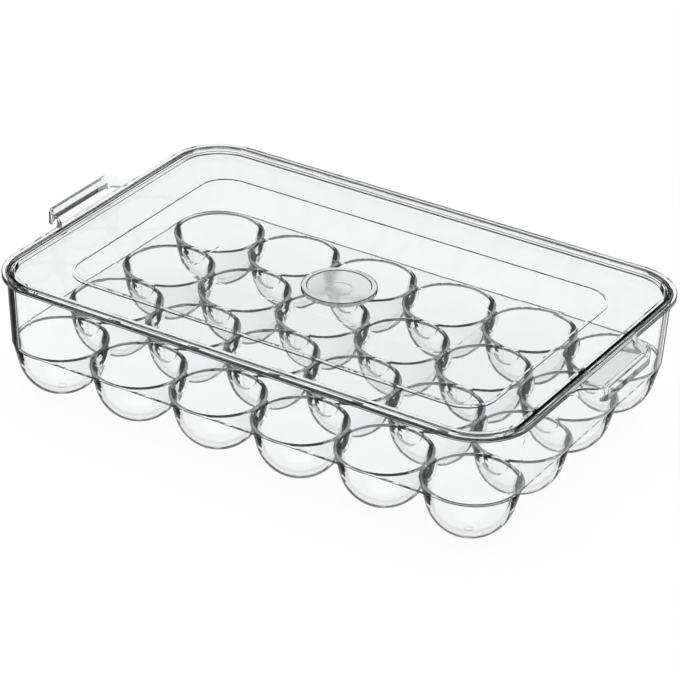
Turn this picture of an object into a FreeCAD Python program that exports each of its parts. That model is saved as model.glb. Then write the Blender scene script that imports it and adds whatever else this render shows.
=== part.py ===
import FreeCAD, Part
import math
import os
import Sketcher

# Clear egg storage box: a moulded tray of egg cups, a drop-in lid and a lid knob.
# X runs along the box, Y across it and Z up. The origin is on the table, under the middle of the tray.

DIMENSIONS = {
    # Egg cups: a round bowl under a tapered wall with a rounded lip
    "columns": 6,
    "rows": 4,
    "cup_pitch": 50.0,
    "bowl_radius": 21.1,
    "bowl_drop": 8.0,
    "cup_draft": 14.0,
    "cup_wall": 2.3,
    "lip_radius": 1.2,
    "foot_radius": 2.6,
    "foot_height": 0.6,
    # Webs that join neighbouring cups under their lips
    "web_radius": 7.75,
    "web_depth": 9.75,
    # Plate and side walls
    "plate_thickness": 1.5,
    "wall_foot_offset": 24.9,
    "wall_thickness": 1.3,
    "wall_foot_bevel": 1.2,
    "wall_height": 40.5,
    "wall_flare": 2.2,
    # Rim, with a ledge inside it that the lid drops onto
    "rim_overhang": 2.5,
    "edge_bevel": 0.4,
    "rim_band": 2.4,
    "rim_gusset": 0.6,
    "ledge_width": 1.3,
    "ledge_depth": 2.4,
    "ledge_lip": 0.8,
    # End handles that rise outward to a turned-down lip
    "handle_reach": 14.6,
    "handle_rise": 2.8,
    "handle_length": 42.0,
    "handle_sweep": 16.5,
    "handle_drop": 6.6,
    "handle_wall": 1.7,
    "handle_round": 2.4,
    # Lid
    "rest_gap": 0.1,
    "lid_gap": 0.4,
    "plug_gap": 0.4,
    "lid_wall": 1.4,
    "band_depth": 3.3,
    "recess_draft": 0.5,
    "panel_inset_x": 26.5,
    "panel_inset_y": 28.5,
    "panel_corner": 16.0,
    "panel_step": 0.8,
    "dish_depth": 3.2,
    "dish_run": 45.0,
    "dish_corner": 10.0,
    # Knob
    "knob_radius": 20.2,
    "knob_thickness": 2.7,
    "knob_crown": 0.7,
    "knob_edge": 0.4,
    "knob_dish_radius": 16.8,
    "knob_dish_depth": 0.6,
    "stem_radius": 7.0,
    "stem_height": 1.0,
    "seat_depth": 0.6,
    "seat_gap": 0.05,
}

doc = FreeCAD.newDocument("egg_storage_box")
sheet = doc.addObject("Spreadsheet::Sheet", "dims")
for row, (alias, value) in enumerate(DIMENSIONS.items(), start=1):
    sheet.set(f"A{row}", alias)
    sheet.set(f"B{row}", str(value))
    sheet.setAlias(f"B{row}", alias)
doc.recompute()

# Centres of the outer cups
SPAN_X = "((dims.columns - 1) * dims.cup_pitch)"
SPAN_Y = "((dims.rows - 1) * dims.cup_pitch)"
FIRST_X = f"(-{SPAN_X} / 2)"
FIRST_Y = f"(-{SPAN_Y} / 2)"

# Heights above the table
MOUTH_Z = "(dims.foot_height + dims.cup_wall + dims.bowl_radius + dims.bowl_drop)"
PLATE_Z = f"({MOUTH_Z} - dims.plate_thickness)"
RIM_Z = f"({MOUTH_Z} + dims.wall_height)"
RIM_BAND_Z = f"({RIM_Z} - dims.rim_band)"
LEDGE_Z = f"({RIM_Z} - dims.ledge_depth)"
LEDGE_LIP_Z = f"({LEDGE_Z} - dims.ledge_lip)"
LEDGE_FOOT_Z = f"({LEDGE_LIP_Z} - dims.ledge_width)"
LID_REST_Z = f"({LEDGE_Z} + dims.rest_gap)"
LIP_Z = f"({RIM_Z} - dims.handle_drop)"
BAND_Z = f"({RIM_Z} - dims.band_depth)"
STEP_Z = f"({BAND_Z} - dims.panel_step)"
PANEL_Z = f"({STEP_Z} - dims.dish_depth)"

# Distances from the outer cup centres to the faces of the walls, rim and lid
WALL_FOOT_OUT = "(dims.wall_foot_offset + dims.wall_thickness)"
WALL_TOP_IN = "(dims.wall_foot_offset + dims.wall_flare)"
WALL_TOP_OUT = f"({WALL_TOP_IN} + dims.wall_thickness)"
WALL_TOP_MID = f"({WALL_TOP_IN} + dims.wall_thickness / 2)"
WALL_SLOPE = f"(dims.wall_flare / ({RIM_Z} - {MOUTH_Z}))"
RIM_OUT = f"({WALL_TOP_OUT} + dims.rim_overhang)"
RIM_MID = f"({WALL_TOP_OUT} + dims.rim_overhang / 2)"
LEDGE_IN = f"({WALL_TOP_IN} - dims.ledge_width)"
LID_OUT = f"({WALL_TOP_IN} - dims.lid_gap)"
PLUG_OUT = f"({LEDGE_IN} - dims.plug_gap)"
RECESS_TOP = f"({PLUG_OUT} - dims.lid_wall)"
RECESS_FLOOR = f"({RECESS_TOP} - dims.recess_draft)"


def number(expression):
    """Present value of an expression over the sheet."""
    value = sheet.evalExpression(expression)
    return float(getattr(value, "Value", value))


def origin_feature(body, role):
    """Origin plane or axis of a body."""
    return next(item for item in body.Origin.OriginFeatures if item.Role == role)


def new_body(name):
    """Empty body with its label."""
    body = doc.addObject("PartDesign::Body", name)
    body.Label = name
    return body


def new_sketch(body, name, plane, x="0", y="0", z="0"):
    """Sketch on an origin plane, moved by x and y in the plane and by z along its normal."""
    sketch = body.newObject("Sketcher::SketchObject", name)
    sketch.AttachmentSupport = [(origin_feature(body, plane), "")]
    sketch.MapMode = "FlatFace"
    for axis, offset in (("x", x), ("y", y), ("z", z)):
        sketch.setExpression(f".AttachmentOffset.Base.{axis}", offset)
    return sketch


def bind(sketch, constraint, name, expression):
    """Add a constraint whose value follows the sheet."""
    index = sketch.addConstraint(constraint)
    sketch.renameConstraint(index, name)
    sketch.setExpression(f"Constraints.{name}", expression)


def arc_between(start, end, radius):
    """Short arc from start to end, turning left for a positive radius and right for a negative one."""
    chord = end - start
    middle = (start + end) * 0.5
    left = FreeCAD.Vector(-chord.y, chord.x, 0).normalize()
    rise = math.sqrt(max(radius * radius - chord.Length ** 2 / 4, 0.0))
    centre = middle + left * math.copysign(rise, radius)
    first, last = (start, end) if radius > 0 else (end, start)
    angles = [math.atan2((point - centre).y, (point - centre).x) for point in (first, last)]
    circle = Part.Circle(centre, FreeCAD.Vector(0, 0, 1), abs(radius))
    return Part.ArcOfCircle(circle, *angles)


def outline(sketch, corners):
    """Closed outline through corners (x, y) or (x, y, radius), where a radius bends the side that follows."""
    corners = [(corner + ("",))[:3] for corner in corners]
    points = [FreeCAD.Vector(number(x), number(y), 0) for x, y, _ in corners]
    sides = []
    for index, (_, _, radius) in enumerate(corners):
        start, end = points[index], points[(index + 1) % len(points)]
        bend = number(radius) if radius else 0.0
        geometry = arc_between(start, end, bend) if radius else Part.LineSegment(start, end)
        ends = (2, 1) if bend < 0 else (1, 2)
        sides.append((sketch.addGeometry(geometry), ends))
    prefix = f"c{sides[0][0]}"
    for index, (x, y, radius) in enumerate(corners):
        side, (start, _) = sides[index]
        before, (_, end) = sides[index - 1]
        sketch.addConstraint(Sketcher.Constraint("Coincident", before, end, side, start))
        for kind, axis, value in (("DistanceX", -2, x), ("DistanceY", -1, y)):
            if value == "0":
                sketch.addConstraint(Sketcher.Constraint("PointOnObject", side, start, axis))
            else:
                distance = Sketcher.Constraint(kind, -1, 1, side, start, number(value))
                bind(sketch, distance, f"{prefix}_{kind}_{index}", value)
        if radius:
            size = Sketcher.Constraint("Radius", side, abs(number(radius)))
            bind(sketch, size, f"{prefix}_radius_{index}", f"abs({radius})")


def disc(sketch, radius):
    """Circle about the sketch origin."""
    sketch.addGeometry(Part.Circle(FreeCAD.Vector(0, 0, 0), FreeCAD.Vector(0, 0, 1), number(radius)))
    sketch.addConstraint(Sketcher.Constraint("Coincident", 0, 3, -1, 1))
    bind(sketch, Sketcher.Constraint("Radius", 0, number(radius)), "radius", radius)


def rectangle(sketch, half_x, half_y, corner):
    """Rectangle with round corners about the sketch origin."""
    flat_x = f"({half_x} - {corner})"
    flat_y = f"({half_y} - {corner})"
    outline(sketch, [
        (half_x, f"-{flat_y}"), (half_x, flat_y, corner),
        (flat_x, half_y), (f"-{flat_x}", half_y, corner),
        (f"-{half_x}", flat_y), (f"-{half_x}", f"-{flat_y}", corner),
        (f"-{flat_x}", f"-{half_y}"), (flat_x, f"-{half_y}", corner),
    ])


def ring_sketch(body, name, offset, height):
    """Outline of the box at a height, at a distance from the outer cup centres."""
    sketch = new_sketch(body, name, "XY_Plane", z=height)
    rectangle(sketch, f"({SPAN_X} / 2 + {offset})", f"({SPAN_Y} / 2 + {offset})", offset)
    return sketch


def bevelled_top(body, name, offset, turn):
    """Two outlines that break the edge at the rim's top, drawn in (-) or out (+) by the bevel."""
    side = ring_sketch(body, f"{name}_side", offset, f"({RIM_Z} - dims.edge_bevel)")
    face = ring_sketch(body, f"{name}_face", f"({offset} {turn} dims.edge_bevel)", RIM_Z)
    return side, face


def panel_sketch(body, name, inset, corner, height):
    """Outline of the lid's centre panel at a height, drawn in by an inset."""
    sketch = new_sketch(body, name, "XY_Plane", z=height)
    half_x = f"({SPAN_X} / 2 + {LID_OUT} - dims.panel_inset_x - {inset})"
    half_y = f"({SPAN_Y} / 2 + {LID_OUT} - dims.panel_inset_y - {inset})"
    rectangle(sketch, half_x, half_y, corner)
    return sketch


def loft(body, kind, name, first, *others):
    """Straight-sided loft through sketches."""
    feature = body.newObject(f"PartDesign::{kind}Loft", name)
    feature.Profile = first
    feature.Sections = list(others)
    feature.Ruled = True
    return feature


def extrude(body, kind, name, sketch, length, reverse=False):
    """Pad or pocket of a sketch."""
    feature = body.newObject(f"PartDesign::{kind}", name)
    feature.Profile = sketch
    feature.setExpression("Length", length)
    feature.Reversed = reverse
    return feature


def revolve(body, kind, name, sketch):
    """Full turn of a sketch about its own upright axis."""
    feature = body.newObject(f"PartDesign::{kind}", name)
    feature.Profile = sketch
    feature.ReferenceAxis = (sketch, ["V_Axis"])
    feature.Angle = 360
    return feature


def line_pattern(body, name, axis, length, count):
    """Copies along an origin axis."""
    pattern = body.newObject("PartDesign::LinearPattern", name)
    pattern.Direction = (origin_feature(body, axis), [""])
    pattern.setExpression("Length", length)
    pattern.setExpression("Occurrences", count)
    return pattern


def row_of(body, feature, axis, length, count):
    """One row of copies of a feature."""
    pattern = line_pattern(body, f"{feature.Name}_row", axis, length, count)
    pattern.Originals = [feature]
    body.Tip = pattern
    doc.recompute()


def grid_of(body, feature, columns, rows):
    """Grid of copies of a feature over the outer cup centres."""
    grid = body.newObject("PartDesign::MultiTransform", f"{feature.Name}_grid")
    grid.Originals = [feature]
    grid.Transformations = [
        line_pattern(body, f"{feature.Name}_x", "X_Axis", SPAN_X, columns),
        line_pattern(body, f"{feature.Name}_y", "Y_Axis", SPAN_Y, rows),
    ]
    body.Tip = grid
    doc.recompute()


def cup_radius(grown, height):
    """Radius of the tapered cup wall, grown outward, at a height above the mouth."""
    rise = f"({height} + dims.bowl_drop) * sin(dims.cup_draft)"
    return f"((dims.bowl_radius + {grown} + {rise}) / cos(dims.cup_draft))"


def cup_sketch(body, name, grown, top):
    """Half section of a cup about its axis, with the origin at the middle of the mouth."""
    sketch = new_sketch(body, name, "XZ_Plane", x=FIRST_X, y=MOUTH_Z, z=f"(-{FIRST_Y})")
    bowl = f"(dims.bowl_radius + {grown})"
    tangent_x = f"({bowl} * cos(dims.cup_draft))"
    tangent_y = f"(-dims.bowl_drop - {bowl} * sin(dims.cup_draft))"
    outline(sketch, [("0", f"(-dims.bowl_drop - {bowl})", bowl), (tangent_x, tangent_y)] + top)
    return sketch


def add_cups(body):
    """Outside of the cups up to their lips, and the feet under the corner cups."""
    section = cup_sketch(body, "cup_section", "dims.cup_wall", [
        (cup_radius("dims.cup_wall", "0"), "0"), ("0", "0"),
    ])
    grid_of(body, revolve(body, "Revolution", "cup_outside", section), "dims.columns", "dims.rows")
    pad = new_sketch(body, "foot_outline", "XY_Plane", x=FIRST_X, y=FIRST_Y)
    disc(pad, "dims.foot_radius")
    foot = extrude(body, "Pad", "foot", pad, "dims.foot_height + dims.cup_wall / 2")
    grid_of(body, foot, "2", "2")


def cut_cups(body):
    """Inside of the cups, with the rounded lip."""
    lip = "dims.lip_radius"
    centre = cup_radius(lip, f"(-{lip})")
    section = cup_sketch(body, "bowl_section", "0", [
        (f"({centre} - {lip} * cos(dims.cup_draft))", f"({lip} * sin(dims.cup_draft) - {lip})", f"-{lip}"),
        (centre, "0"), ("0", "0"),
    ])
    grid_of(body, revolve(body, "Groove", "cup_inside", section), "dims.columns", "dims.rows")


def web_section(sketch):
    """U-shaped section of a web, with the origin at the mouth level."""
    half = "dims.web_radius"
    spring = "(dims.web_radius - dims.web_depth)"
    top = "(-dims.plate_thickness / 2)"
    bottom = "(-dims.web_depth)"
    outline(sketch, [
        (half, top), (f"-{half}", top), (f"-{half}", spring, half), ("0", bottom, half), (half, spring),
    ])


def add_webs(body):
    """Webs from cup to cup, along and across the tray."""
    along = new_sketch(body, "web_along_section", "YZ_Plane", x=FIRST_Y, y=MOUTH_Z, z=FIRST_X)
    web_section(along)
    row_of(body, extrude(body, "Pad", "web_along", along, SPAN_X), "Y_Axis", SPAN_Y, "dims.rows")
    across = new_sketch(body, "web_across_section", "XZ_Plane", x=FIRST_X, y=MOUTH_Z, z=FIRST_Y)
    web_section(across)
    row_of(body, extrude(body, "Pad", "web_across", across, SPAN_Y), "X_Axis", SPAN_X, "dims.columns")


def add_walls(body):
    """Flared block of the side walls, bevelled at its foot, with the rim around its top."""
    bevel = "dims.wall_foot_bevel"
    foot = ring_sketch(body, "wall_foot", f"({WALL_FOOT_OUT} - {bevel})", PLATE_Z)
    side = ring_sketch(body, "wall_side", WALL_FOOT_OUT, f"({PLATE_Z} + {bevel})")
    top = ring_sketch(body, "wall_top", WALL_TOP_OUT, RIM_Z)
    loft(body, "Additive", "walls", foot, side, top)
    gusset_out = f"({WALL_TOP_OUT} + dims.rim_gusset)"
    under = ring_sketch(body, "gusset_foot", WALL_TOP_MID, f"({RIM_BAND_Z} - {gusset_out} + {WALL_TOP_MID})")
    edge = ring_sketch(body, "gusset_top", gusset_out, RIM_BAND_Z)
    loft(body, "Additive", "rim_gussets", under, edge)
    band = ring_sketch(body, "rim_foot", RIM_OUT, RIM_BAND_Z)
    loft(body, "Additive", "rim", band, *bevelled_top(body, "rim", RIM_OUT, "-"))
    doc.recompute()


def cut_walls(body):
    """Room above the plate, drawn in under the lid by a ledge, and the seat for the lid above it."""
    floor = ring_sketch(body, "room_floor", "dims.wall_foot_offset", MOUTH_Z)
    wall_in = f"({WALL_TOP_IN} - ({RIM_Z} - {LEDGE_FOOT_Z}) * {WALL_SLOPE})"
    under = ring_sketch(body, "ledge_foot", wall_in, LEDGE_FOOT_Z)
    lip = ring_sketch(body, "ledge_lip", LEDGE_IN, LEDGE_LIP_Z)
    top = ring_sketch(body, "ledge_top", LEDGE_IN, LEDGE_Z)
    loft(body, "Subtractive", "room", floor, under, lip, top)
    seat = ring_sketch(body, "lid_seat_outline", WALL_TOP_IN, LEDGE_Z)
    loft(body, "Subtractive", "lid_seat", seat, *bevelled_top(body, "lid_seat", WALL_TOP_IN, "+"))
    doc.recompute()


def make_tray_shell():
    """Walls, plate, cups and webs of the tray."""
    body = new_body("tray_shell")
    add_walls(body)
    cut_walls(body)
    add_cups(body)
    add_webs(body)
    cut_cups(body)
    return body


def sweep_radius(rise, run):
    """Radius of the two equal arcs of an S-curve."""
    return f"(({rise} * {rise} + {run} * {run}) / (4 * {rise}))"


def handle_outline(sketch, inset, root):
    """Plan of a handle: a straight outer edge with S-curved ends, drawn in by an inset, from a root line."""
    reach, run = "dims.handle_reach", "dims.handle_sweep"
    edge = f"({SPAN_X} / 2 + {RIM_OUT} + {reach})"
    flat = "(dims.handle_length / 2)"
    bend = sweep_radius(reach, run)
    outer = f"({bend} - {inset})"
    bend_x = f"({edge} - {bend} + {outer} * ({bend} - {reach} / 2) / {bend})"
    bend_y = f"({flat} + {outer} * {run} / 2 / {bend})"
    tip = f"({edge} - {inset})"
    end_x = f"({edge} - {reach} - {inset})"
    end_y = f"({flat} + {run})"
    concave = f"({bend} + {inset})"
    outline(sketch, [
        (root, f"-{end_y}"), (end_x, f"-{end_y}", f"-{concave}"),
        (bend_x, f"-{bend_y}", outer), (tip, f"-{flat}"),
        (tip, flat, outer), (bend_x, bend_y, f"-{concave}"),
        (end_x, end_y), (root, end_y),
    ])


def handle_block(name, inset, root, lowered):
    """Block in the plan of a handle, drawn in by an inset, whose top slopes up and out to a round edge."""
    body = new_body(name)
    plan = new_sketch(body, f"{name}_plan", "XY_Plane", z=LIP_Z)
    handle_outline(plan, inset, root)
    extrude(body, "Pad", f"{name}_pad", plan, "dims.handle_drop + dims.handle_rise")
    doc.recompute()
    past_end = "(dims.handle_length / 2 + dims.handle_sweep + dims.handle_wall)"
    rim_edge = f"({SPAN_X} / 2 + {RIM_OUT})"
    slope = new_sketch(body, f"{name}_slope", "XZ_Plane", x=rim_edge, y=f"({RIM_Z} - {lowered})", z=past_end)
    grade = "(dims.handle_rise / dims.handle_reach)"
    inner, outer = "(-dims.handle_reach)", "(2 * dims.handle_reach)"
    above = "(2 * dims.handle_rise + dims.handle_wall)"
    bend = f"(dims.handle_round - {inset})"
    tip = f"(dims.handle_reach - {inset})"
    turn = f"(({tip} - {bend}) * {grade})"
    outline(slope, [
        (inner, f"({inner} * {grade})"), (f"({tip} - {bend})", turn, f"-{bend}"),
        (tip, f"({turn} - {bend})"), (outer, f"({turn} - {bend})"), (outer, above), (inner, above),
    ])
    cut = extrude(body, "Pocket", f"{name}_top", slope, "dims.handle_length")
    cut.Type = "ThroughAll"
    doc.recompute()
    return body


def make_handle():
    """Handle on the right end: a plate that rises from the rim and a lip that sweeps down in the middle."""
    root = f"({SPAN_X} / 2 + {RIM_MID})"
    block = handle_block("handle_block", "0", root, "0")
    rise = "(dims.handle_drop - dims.rim_band)"
    for side, sign in (("front", "-"), ("back", "")):
        sweep = new_sketch(block, f"lip_sweep_{side}", "YZ_Plane", y=LIP_Z)
        lip_sweep(sweep, sign, rise)
        cut = extrude(block, "Pocket", f"lip_end_{side}", sweep, "dims.handle_length", reverse=True)
        cut.Type = "ThroughAll"
        doc.recompute()
    wall = "dims.handle_wall"
    handle = doc.addObject("Part::Cut", "handle")
    handle.Base = block
    handle.Tool = handle_block("handle_hollow", wall, f"({root} - {wall})", wall)
    return handle


def lip_sweep(sketch, sign, rise):
    """Room under one end of a handle's lip: its top is an S-curve from the lip's bottom to the rim's."""
    flat = "(dims.handle_length / 2)"
    run = "dims.handle_sweep"
    bend = sweep_radius(rise, run)
    turn = "-" if sign else ""
    back = "" if sign else "-"
    middle = f"({flat} + {run} / 2)"
    end = f"({flat} + {run})"
    outline(sketch, [
        (f"{sign}{flat}", "0", f"{turn}{bend}"), (f"{sign}{middle}", f"({rise} / 2)", f"{back}{bend}"),
        (f"{sign}{end}", rise), (f"{sign}({end} + dims.handle_wall)", rise),
        (f"{sign}({end} + dims.handle_wall)", "0"),
    ])


def make_tray():
    """Tray moulding: the shell with a handle at each end."""
    shell = make_tray_shell()
    right = make_handle()
    left = doc.addObject("Part::Mirroring", "handle_left")
    left.Source = right
    left.Normal = FreeCAD.Vector(1, 0, 0)
    tray = doc.addObject("Part::MultiFuse", "tray")
    tray.Shapes = [shell, right, left]
    tray.Refine = True
    return tray


def make_lid():
    """Lid moulding: rim, plug, flat band and a stepped, dished panel with a seat for the knob."""
    body = new_body("lid")
    wall = "dims.lid_wall"
    rim = ring_sketch(body, "lid_edge", LID_OUT, LID_REST_Z)
    loft(body, "Additive", "lid_rim", rim, *bevelled_top(body, "lid", LID_OUT, "-"))
    plug = ring_sketch(body, "plug_outline", PLUG_OUT, f"({BAND_Z} - {wall})")
    extrude(body, "Pad", "plug", plug, f"{LID_REST_Z} - {BAND_Z} + {wall}")
    step_corner = f"(dims.panel_corner + {wall})"
    step = panel_sketch(body, "step_under", f"(-{wall})", step_corner, f"({STEP_Z} - {wall})")
    extrude(body, "Pad", "step_wall", step, "dims.panel_step")
    rise = panel_sketch(body, "dish_under_top", "0", "dims.panel_corner", f"({STEP_Z} - {wall})")
    floor = panel_sketch(body, "dish_under", "dims.dish_run", "dims.dish_corner", f"({PANEL_Z} - {wall})")
    loft(body, "Additive", "dish_underside", rise, floor)
    doc.recompute()
    top = ring_sketch(body, "recess_top", RECESS_TOP, RIM_Z)
    low = ring_sketch(body, "recess_floor", RECESS_FLOOR, BAND_Z)
    loft(body, "Subtractive", "recess", top, low)
    edge = panel_sketch(body, "panel_outline", "0", "dims.panel_corner", BAND_Z)
    extrude(body, "Pocket", "panel_recess", edge, "dims.panel_step")
    rise = panel_sketch(body, "dish_top", "0", "dims.panel_corner", STEP_Z)
    floor = panel_sketch(body, "dish_floor", "dims.dish_run", "dims.dish_corner", PANEL_Z)
    loft(body, "Subtractive", "dish", rise, floor)
    doc.recompute()
    seat = new_sketch(body, "knob_seat_outline", "XY_Plane", z=PANEL_Z)
    disc(seat, "(dims.stem_radius + dims.seat_gap)")
    extrude(body, "Pocket", "knob_seat", seat, "dims.seat_depth")
    doc.recompute()
    return body


def make_knob():
    """Knob moulding: a disc with a raised rim on a short stem that stands in the lid's seat."""
    body = new_body("knob")
    section = new_sketch(body, "knob_section", "XZ_Plane", y=PANEL_Z)
    under, top = "dims.stem_height", "(dims.stem_height + dims.knob_thickness)"
    rim, edge, crown = "dims.knob_radius", "dims.knob_edge", "dims.knob_crown"
    foot, stem = "(dims.rest_gap - dims.seat_depth)", "dims.stem_radius"
    dish, sunk = "dims.knob_dish_radius", f"({top} - dims.knob_dish_depth)"
    outline(section, [
        ("0", foot), (stem, foot), (stem, under), (f"({rim} - {edge})", under, edge),
        (rim, f"({under} + {edge})"), (rim, f"({top} - {crown})", crown), (f"({rim} - {crown})", top),
        (f"({dish} + dims.knob_dish_depth)", top), (dish, sunk), ("0", sunk),
    ])
    revolve(body, "Revolution", "knob_turned", section)
    doc.recompute()
    return body


def check(pieces):
    """Stop if any object failed or any piece has no sound single solid."""
    for item in doc.Objects:
        if "Invalid" in item.State or "Error" in item.State:
            raise RuntimeError(f"{item.Name} failed: {item.State}")
    for piece in pieces:
        shape = piece.Shape
        if shape.isNull() or not shape.isValid() or len(shape.Solids) != 1:
            raise RuntimeError(f"{piece.Label} is not one sound solid")


pieces = [make_tray(), make_lid(), make_knob()]
doc.recompute()
check(pieces)
os.makedirs("parts", exist_ok=True)
for piece in pieces:
    piece.Shape.exportStep(f"parts/{piece.Label}.step")
    print(piece.Label, round(piece.Shape.Volume / 1000, 1), "cm3", piece.Shape.BoundBox)
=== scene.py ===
import math

import bpy
from mathutils import Matrix, Vector

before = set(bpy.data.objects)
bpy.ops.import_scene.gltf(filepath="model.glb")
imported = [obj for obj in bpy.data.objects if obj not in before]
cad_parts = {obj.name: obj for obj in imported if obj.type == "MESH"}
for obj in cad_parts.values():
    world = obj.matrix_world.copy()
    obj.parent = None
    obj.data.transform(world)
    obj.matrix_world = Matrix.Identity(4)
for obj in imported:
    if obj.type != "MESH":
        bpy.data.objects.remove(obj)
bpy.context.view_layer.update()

NODES = ("tray", "lid", "knob")
WHITE = (1.0, 1.0, 1.0, 1.0)

# Camera fit: bearing, height angle, tilt, distance and the point looked at, in metres
CAMERA_AZIMUTH = math.radians(30.90)
CAMERA_ELEVATION = math.radians(28.84)
CAMERA_ROLL = math.radians(2.03)
CAMERA_DISTANCE = 1.685
CAMERA_TARGET = Vector((-0.00255, 0.00697, 0.0320))
CAMERA_LENS_MM = 168.07
CAMERA_SENSOR_MM = 36.0
CAMERA_SIGHT = 20.0

# Clear plastic: index, clear and slightly clouded colour, and what its thickness absorbs
PLASTIC_IOR = 1.28
PLASTIC_COLOUR = (0.995, 1.0, 1.0, 1.0)
CLOUDED_COLOUR = (0.98, 0.985, 0.985, 1.0)
ABSORPTION_COLOUR = (0.62, 0.64, 0.65, 1.0)
ABSORPTION_DENSITY = 12.0
CLEARNESS = {"tray": 1.0, "lid": 1.0, "knob": 0.75}

# Painted shade on the edges of the moulding: round faces turned away are painted near-black and mirror
# little, standing in for the dark surroundings that clear plastic bends into view there, and less so low
# on the cups
PAINTED_SHADE_COLOUR = (0.004, 0.004, 0.005, 1.0)
PAINTED_SHADE_IOR = 1.05
EDGE_FACING = (0.52, 0.68)
FACING_BLEND = 0.5
EDGE_HEIGHT = (0.020, 0.030)
EDGE_BELOW = 0.35

# A face whose normal lies this close to an axis of the box counts as flat
FLAT_FACE = (0.975, 0.99)

# Height bands, in metres, of the feet, lips and steps painted dark: painted shade for the dark lines that
# the thick, rounded moulding shows there by bending light
PAINTED_SHADE_BANDS = {
    "tray": [(0.0001, 0.0005), (0.0307, 0.0318)],
    "lid": [(0.0685, 0.0691)],
    "knob": [(0.0684, 0.0688)],
}
# How strongly the bands are painted dark, as painted shade
BAND_SHADE = 0.95

# Painted shade: dark lines of the rims and handles, where the clear plastic bends dark surroundings into
# view: heights, offsets from the rectangle of corner cup centres, and how strongly each is painted dark
CORE_HALF_SIZE = (0.125, 0.075)
ABOVE_ALL = 1.0
PAINTED_SHADE_RINGS = {
    "tray": [
        ((0.0715, 0.0726), (0.0268, 0.0279), 0.95),
        ((0.0718, 0.0726), (0.0304, 0.0311), 0.5),
        ((0.0658, 0.0690), (0.0430, 0.0442), 0.85),
        ((0.0658, 0.0750), (0.0443, 0.0460), 0.06),
    ],
    "lid": [((0.0715, 0.0726), (0.0259, 0.0268), 0.95)],
    "knob": [],
}

# Moulding marks: slow waves of the surface and patches of slightly uneven gloss
FLOW_SCALE = 25.0
FLOW_HEIGHT = 0.001
FLOW_STRENGTH = 0.3
GLOSS_SCALE = 60.0
GLOSS_PATCHES = (0.3, 0.7)
GLOSS = {"tray": (0.0, 0.03), "lid": (0.0, 0.03), "knob": (0.10, 0.16)}
NOISE_DETAIL = 2.0
SEED_STEP = 7.3

# Studio: a soft light overhead in a dim room, and a floor that glows white and still takes a shadow
SCREEN_LIGHT = 2.0
SCREEN_EDGE = (0.72, 0.90)
ROOM_LIGHT = 0.45
FLOOR_HALF_SIZE = 6.0
FLOOR_HEIGHT = -0.0005
FLOOR_GLOW = 0.93
FLOOR_MIRRORED = 0.8
FLOOR_COLOUR = (0.08, 0.08, 0.08, 1.0)
SHEET_EDGE = (0.70, 1.10)

# Light bounces: enough for many clear layers
CLEAR_BOUNCES = 40
GLOSSY_BOUNCES = 12


def make_camera():
    """Camera at the fitted place, square to the fitted view direction."""
    back = Vector((
        math.sin(CAMERA_AZIMUTH) * math.cos(CAMERA_ELEVATION),
        -math.cos(CAMERA_AZIMUTH) * math.cos(CAMERA_ELEVATION),
        math.sin(CAMERA_ELEVATION),
    ))
    level = Vector((math.cos(CAMERA_AZIMUTH), math.sin(CAMERA_AZIMUTH), 0.0))
    upright = back.cross(level)
    right = math.cos(CAMERA_ROLL) * level + math.sin(CAMERA_ROLL) * upright
    up = back.cross(right)
    data = bpy.data.cameras.new("camera")
    data.lens = CAMERA_LENS_MM
    data.sensor_width = CAMERA_SENSOR_MM
    data.clip_end = CAMERA_SIGHT
    camera = bpy.data.objects.new("camera", data)
    bpy.context.scene.collection.objects.link(camera)
    rotation = Matrix((right, up, back)).transposed()
    camera.matrix_world = Matrix.Translation(CAMERA_TARGET + back * CAMERA_DISTANCE) @ rotation.to_4x4()
    bpy.context.scene.camera = camera


def new_material(name):
    """Material with an empty node tree."""
    material = bpy.data.materials.new(name)
    material.use_nodes = True
    material.node_tree.nodes.clear()
    return material, material.node_tree


def connect(tree, value, socket):
    """Feed a socket from a node's output, or set it to a plain value."""
    if isinstance(value, bpy.types.NodeSocket):
        tree.links.new(value, socket)
    else:
        socket.default_value = value


def calculate(tree, operation, *values):
    """One sum on numbers, each a node's output or a plain value."""
    step = tree.nodes.new("ShaderNodeMath")
    step.operation = operation
    for socket, value in zip(step.inputs, values):
        connect(tree, value, socket)
    return step.outputs["Value"]


def calculate_vector(tree, operation, *values):
    """One sum on vectors, each a node's output or a plain value; a length comes out as a number."""
    step = tree.nodes.new("ShaderNodeVectorMath")
    step.operation = operation
    for socket, value in zip(step.inputs, values):
        connect(tree, value, socket)
    return step.outputs["Value" if operation == "LENGTH" else "Vector"]


def coordinates(tree, vector):
    """The three parts of a vector."""
    split = tree.nodes.new("ShaderNodeSeparateXYZ")
    connect(tree, vector, split.inputs["Vector"])
    return split.outputs["X"], split.outputs["Y"], split.outputs["Z"]


def smooth_range(tree, value, span, reach):
    """Smooth step of a value over a span, from one end of the reach to the other."""
    step = tree.nodes.new("ShaderNodeMapRange")
    step.interpolation_type = "SMOOTHSTEP"
    step.inputs["From Min"].default_value = span[0]
    step.inputs["From Max"].default_value = span[1]
    step.inputs["To Min"].default_value = reach[0]
    step.inputs["To Max"].default_value = reach[1]
    connect(tree, value, step.inputs["Value"])
    return step.outputs["Result"]


def in_band(tree, value, band):
    """One inside a band of values, none outside it."""
    low, high = band
    return calculate(tree, "COMPARE", value, (low + high) / 2, (high - low) / 2)


def core_offset(tree, place):
    """Distance, seen from above, from the rectangle through the corner cups' centres."""
    size = calculate_vector(tree, "ABSOLUTE", place)
    past = calculate_vector(tree, "SUBTRACT", size, (*CORE_HALF_SIZE, ABOVE_ALL))
    outside = calculate_vector(tree, "MAXIMUM", past, (0.0, 0.0, 0.0))
    return calculate_vector(tree, "LENGTH", outside)


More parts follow.
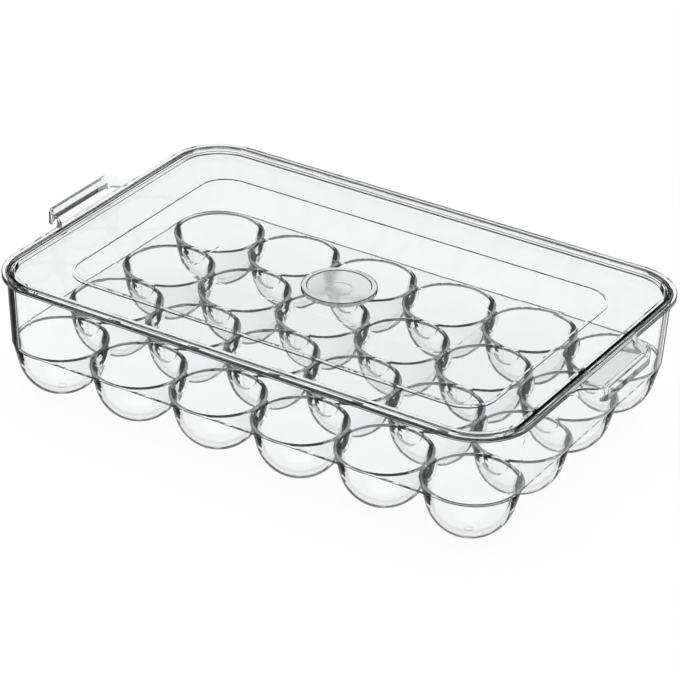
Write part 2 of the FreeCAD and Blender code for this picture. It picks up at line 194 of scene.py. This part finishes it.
def round_face(tree):
    """One on round faces, none on faces square to an axis of the box."""
    surface = tree.nodes.new("ShaderNodeNewGeometry")
    size = calculate_vector(tree, "ABSOLUTE", surface.outputs["Normal"])
    along_x, along_y, along_z = coordinates(tree, size)
    level = calculate(tree, "MAXIMUM", along_x, along_y)
    square = calculate(tree, "MAXIMUM", level, along_z)
    return smooth_range(tree, square, FLAT_FACE, (1.0, 0.0))


def turned_painted_shade(tree, height):
    """Share of painted shade, near-black, on round faces that are turned away."""
    facing = tree.nodes.new("ShaderNodeLayerWeight")
    facing.inputs["Blend"].default_value = FACING_BLEND
    turned = smooth_range(tree, facing.outputs["Facing"], EDGE_FACING, (0.0, 1.0))
    raised = smooth_range(tree, height, EDGE_HEIGHT, (EDGE_BELOW, 1.0))
    return calculate(tree, "MULTIPLY", calculate(tree, "MULTIPLY", turned, raised), round_face(tree))


def painted_shade_share(tree, place, node):
    """Share of painted shade: the turned edges, the painted dark bands and the painted dark rings."""
    _, _, height = coordinates(tree, place)
    offset = core_offset(tree, place)
    share = turned_painted_shade(tree, height)
    # Painted shade: the bands of the feet, lips and steps are painted dark
    shade_marks = [(in_band(tree, height, band), BAND_SHADE) for band in PAINTED_SHADE_BANDS[node]]
    # Painted shade: the rim and handle lines are painted dark
    for heights, offsets, shade_strength in PAINTED_SHADE_RINGS[node]:
        ring = calculate(tree, "MULTIPLY", in_band(tree, height, heights), in_band(tree, offset, offsets))
        shade_marks.append((ring, shade_strength))
    for shade_mark, shade_strength in shade_marks:
        share = calculate(tree, "MAXIMUM", share, calculate(tree, "MULTIPLY", shade_mark, shade_strength))
    return share


def moulding_noise(tree, place, scale, seed):
    """Slow noise over the piece, different on each piece."""
    noise = tree.nodes.new("ShaderNodeTexNoise")
    noise.inputs["Scale"].default_value = scale
    noise.inputs["Detail"].default_value = NOISE_DETAIL
    shifted = calculate_vector(tree, "ADD", place, (seed * SEED_STEP, 0.0, 0.0))
    connect(tree, shifted, noise.inputs["Vector"])
    return noise.outputs["Fac"]


def mix_colour(tree, share, first, second):
    """Colour between two, by a share."""
    mix = tree.nodes.new("ShaderNodeMix")
    mix.data_type = "RGBA"
    connect(tree, share, mix.inputs["Factor"])
    connect(tree, first, mix.inputs["A"])
    connect(tree, second, mix.inputs["B"])
    return mix.outputs["Result"]


def flow_waves(tree, flow):
    """Normal of a surface with faint flow waves."""
    waves = tree.nodes.new("ShaderNodeBump")
    waves.inputs["Strength"].default_value = FLOW_STRENGTH
    waves.inputs["Distance"].default_value = FLOW_HEIGHT
    connect(tree, flow, waves.inputs["Height"])
    return waves.outputs["Normal"]


def absorption(tree):
    """Slight grey that grows with the thickness of the plastic."""
    absorb = tree.nodes.new("ShaderNodeVolumeAbsorption")
    absorb.inputs["Color"].default_value = ABSORPTION_COLOUR
    absorb.inputs["Density"].default_value = ABSORPTION_DENSITY
    return absorb.outputs["Volume"]


def clear_plastic(node, seed):
    """Clear moulded plastic with painted shade on its edges, faint flow waves and slightly uneven gloss.
    """
    material, tree = new_material(f"clear_{node}")
    place = tree.nodes.new("ShaderNodeTexCoord").outputs["Object"]
    painted_shade = painted_shade_share(tree, place, node)
    flow = moulding_noise(tree, place, FLOW_SCALE, seed)
    patches = moulding_noise(tree, place, GLOSS_SCALE, seed)
    body = mix_colour(tree, flow, PLASTIC_COLOUR, CLOUDED_COLOUR)
    shader = tree.nodes.new("ShaderNodeBsdfPrincipled")
    shader.inputs["Transmission Weight"].default_value = CLEARNESS[node]
    shader.inputs["IOR"].default_value = PLASTIC_IOR
    # Painted shade: the edges, bands and rings are mixed towards near-black in the colour
    connect(tree, mix_colour(tree, painted_shade, body, PAINTED_SHADE_COLOUR), shader.inputs["Base Color"])
    # Painted shade: on the painted dark parts the index drops, so they mirror little and stay dark
    connect(tree, smooth_range(tree, painted_shade, (0.0, 1.0), (PLASTIC_IOR, PAINTED_SHADE_IOR)), shader.inputs["IOR"])
    connect(tree, smooth_range(tree, patches, GLOSS_PATCHES, GLOSS[node]), shader.inputs["Roughness"])
    connect(tree, flow_waves(tree, flow), shader.inputs["Normal"])
    output = tree.nodes.new("ShaderNodeOutputMaterial")
    connect(tree, shader.outputs["BSDF"], output.inputs["Surface"])
    connect(tree, absorption(tree), output.inputs["Volume"])
    return material


def dress(node, material):
    """Put one material on a CAD node."""
    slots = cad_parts[node].data.materials
    slots.clear()
    slots.append(material)


def floor_glow(tree):
    """Glow of the floor: even to the camera, and seen through the plastic a round sheet that fades out."""
    path = tree.nodes.new("ShaderNodeLightPath")
    place = tree.nodes.new("ShaderNodeTexCoord")
    reach = calculate_vector(tree, "LENGTH", place.outputs["Object"])
    sheet = smooth_range(tree, reach, SHEET_EDGE, (FLOOR_GLOW, 0.0))
    mirrored = calculate(tree, "MULTIPLY", path.outputs["Is Glossy Ray"], FLOOR_MIRRORED)
    bent = calculate(tree, "MAXIMUM", mirrored, path.outputs["Is Transmission Ray"])
    bent_glow = calculate(tree, "MULTIPLY", bent, sheet)
    return calculate(tree, "MULTIPLY_ADD", path.outputs["Is Camera Ray"], FLOOR_GLOW, bent_glow)


def white_floor():
    """Floor material: most of its white is glow, and the rest is lit, so it keeps the shadow."""
    material, tree = new_material("floor")
    lit = tree.nodes.new("ShaderNodeBsdfDiffuse")
    lit.inputs["Color"].default_value = FLOOR_COLOUR
    glow = tree.nodes.new("ShaderNodeEmission")
    connect(tree, floor_glow(tree), glow.inputs["Strength"])
    both = tree.nodes.new("ShaderNodeAddShader")
    connect(tree, lit.outputs["BSDF"], both.inputs[0])
    connect(tree, glow.outputs["Emission"], both.inputs[1])
    output = tree.nodes.new("ShaderNodeOutputMaterial")
    connect(tree, both.outputs["Shader"], output.inputs["Surface"])
    material.cycles.emission_sampling = "NONE"
    return material


def make_floor():
    """Wide flat floor just under the box's feet."""
    half = FLOOR_HALF_SIZE
    mesh = bpy.data.meshes.new("floor")
    corners = [(-half, -half, 0), (half, -half, 0), (half, half, 0), (-half, half, 0)]
    mesh.from_pydata(corners, [], [(0, 1, 2, 3)])
    mesh.materials.append(white_floor())
    floor = bpy.data.objects.new("floor", mesh)
    floor.location.z = FLOOR_HEIGHT
    bpy.context.scene.collection.objects.link(floor)


def background(tree, strength):
    """White light from all around."""
    light = tree.nodes.new("ShaderNodeBackground")
    light.inputs["Color"].default_value = WHITE
    connect(tree, strength, light.inputs["Strength"])
    return light.outputs["Background"]


def make_world():
    """White to the camera, and to everything else a soft light overhead in a dim room."""
    world = bpy.data.worlds.new("studio")
    world.use_nodes = True
    tree = world.node_tree
    tree.nodes.clear()
    place = tree.nodes.new("ShaderNodeTexCoord")
    _, _, upward = coordinates(tree, place.outputs["Generated"])
    screen = smooth_range(tree, upward, SCREEN_EDGE, (ROOM_LIGHT, SCREEN_LIGHT))
    path = tree.nodes.new("ShaderNodeLightPath")
    mix = tree.nodes.new("ShaderNodeMixShader")
    connect(tree, path.outputs["Is Camera Ray"], mix.inputs[0])
    connect(tree, background(tree, screen), mix.inputs[1])
    connect(tree, background(tree, 1.0), mix.inputs[2])
    output = tree.nodes.new("ShaderNodeOutputWorld")
    connect(tree, mix.outputs["Shader"], output.inputs["Surface"])
    bpy.context.scene.world = world


def set_view():
    """Plain colour handling, and enough light bounces for many clear layers."""
    scene = bpy.context.scene
    scene.view_settings.view_transform = "Standard"
    scene.cycles.max_bounces = CLEAR_BOUNCES
    scene.cycles.transmission_bounces = CLEAR_BOUNCES
    scene.cycles.transparent_max_bounces = CLEAR_BOUNCES
    scene.cycles.glossy_bounces = GLOSSY_BOUNCES


make_camera()
make_floor()
make_world()
set_view()
for order, node in enumerate(NODES):
    dress(node, clear_plastic(node, order))
